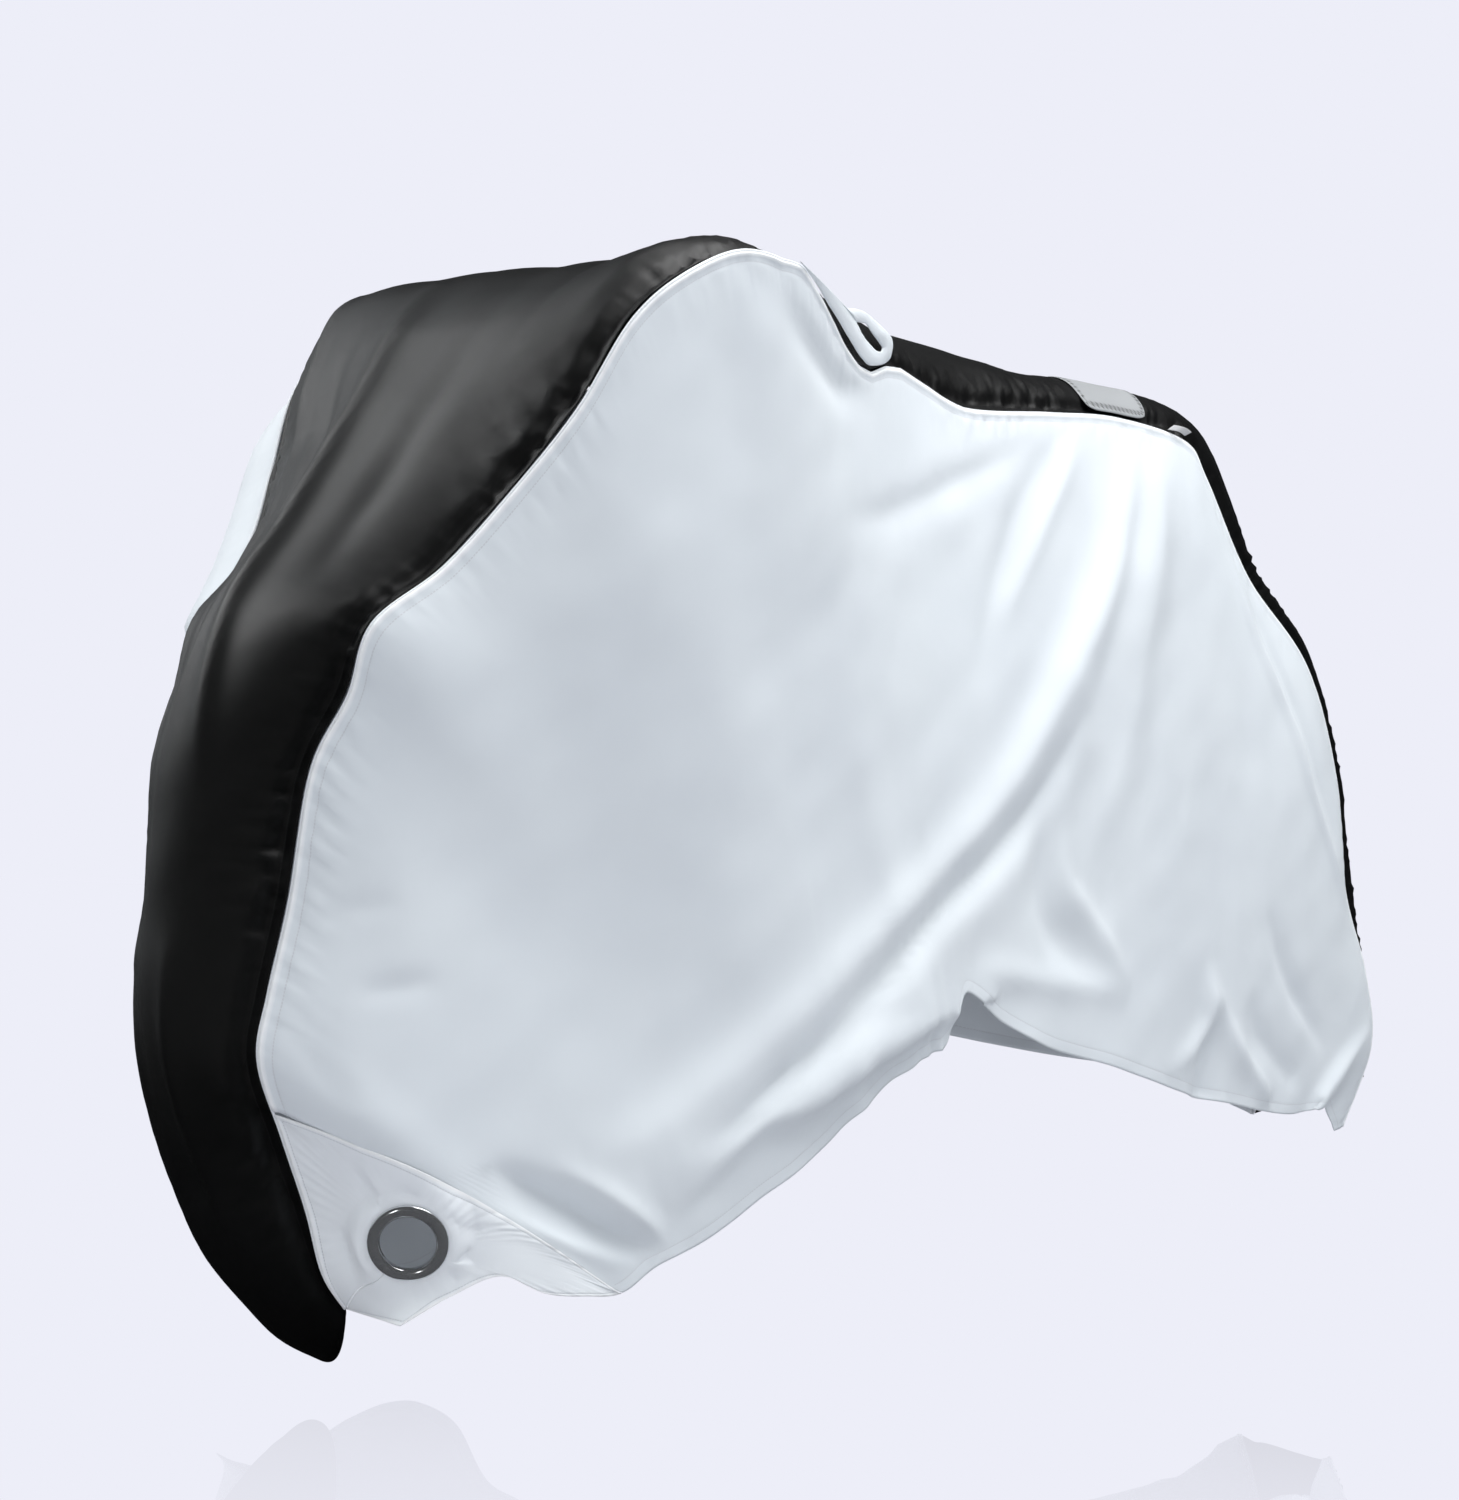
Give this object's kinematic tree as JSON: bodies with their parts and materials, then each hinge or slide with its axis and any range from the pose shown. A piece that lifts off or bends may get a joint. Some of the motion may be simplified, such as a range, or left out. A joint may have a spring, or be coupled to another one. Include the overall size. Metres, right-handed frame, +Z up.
{
  "type": "bicycle cover",
  "caption": "Fitted cloth cover, hollow and open below: two side panels, a gusset that narrows to both ends, piped seams, a lock eyelet in a lower front corner.",
  "frame": {"origin": "the point on the middle plane, just under the gusset's rear peak, at which the cover is held up", "axes": "+X along the cover's length from the front end to the rear end, +Y to the far side, +Z up"},
  "size_m": [1.8819, 0.6977, 1.1564],
  "materials": {
    "silver_cloth": "soft sheen, silver coated weave",
    "black_cloth": "satin",
    "piping": "soft sheen",
    "reflective_cloth": "pale grey, reflective",
    "eyelet_metal": "polished"
  },
  "bodies": {
    "root": {"panel_near": "silver_cloth", "lock_strip": "silver_cloth", "panel_far": "silver_cloth", "gusset": "black_cloth", "piping_near": "piping", "piping_far": "piping", "reflective_patch": "reflective_cloth", "eyelet": "eyelet_metal"}
  },
  "joints": []
}
